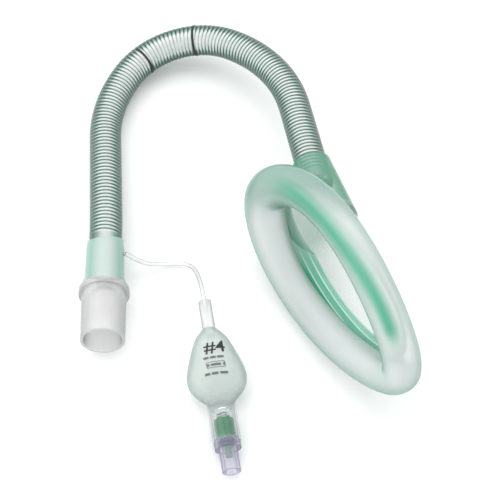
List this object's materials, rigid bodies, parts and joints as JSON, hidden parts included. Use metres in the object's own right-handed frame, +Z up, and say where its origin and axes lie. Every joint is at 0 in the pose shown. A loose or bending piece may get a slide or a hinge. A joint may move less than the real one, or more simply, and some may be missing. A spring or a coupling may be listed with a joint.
{
  "type": "reinforced laryngeal mask airway",
  "caption": "Curved coil-reinforced airway tube with an inflatable oval mask, a male cone connector and a pilot balloon with check valve.",
  "frame": {"origin": "centre of the underside of the airway's bounding box, on the table, without the free inflation line and what hangs on it", "axes": "+Z up from the table, +Y from the connector towards the top of the bend, +X from the connector's leg towards the mask"},
  "size_m": [0.1141, 0.1858, 0.0518],
  "materials": {
    "clear_green_pvc": "clear green-tinted soft PVC, glossy",
    "coil_steel": "bright drawn stainless steel wire",
    "sleeve_pvc": "semi-frosted grey-green soft PVC",
    "connector_polypropylene": "milky translucent polypropylene, satin",
    "cuff_pvc": "thin frosted pale green PVC, satin",
    "bowl_pvc": "clear green soft PVC, glossy",
    "line_pvc": "clear soft PVC, glossy",
    "balloon_pvc": "frosted pale green PVC film with black print",
    "valve_clear_plastic": "clear violet-tinted hard plastic, glossy",
    "plunger_plastic": "dark green hard plastic",
    "seal_rubber": "black rubber, matt"
  },
  "bodies": {
    "airway": {"airway_tube": "clear_green_pvc", "reinforcing_wire": "coil_steel", "machine_end_sleeve": "sleeve_pvc", "connector": "connector_polypropylene", "cuff": "cuff_pvc", "bowl": "bowl_pvc", "inflation_line_inner": "line_pvc", "inflation_line": "line_pvc", "balloon_neck_sleeve": "line_pvc", "pilot_balloon": "balloon_pvc", "valve_body": "valve_clear_plastic", "valve_retainer": "valve_clear_plastic", "valve_spring": "coil_steel"},
    "plunger": {"valve_plunger": "plunger_plastic", "valve_seal": "seal_rubber"}
  },
  "joints": [
    {"name": "valve_push", "type": "slide", "parent": "airway", "child": "plunger", "axis": [-0.1526, 0.9847, 0.0842], "range_m": [0, 0.0015], "stiffness_N_per_m": 300, "springref_m": -0.001, "deforming": ["valve_spring"]}
  ]
}
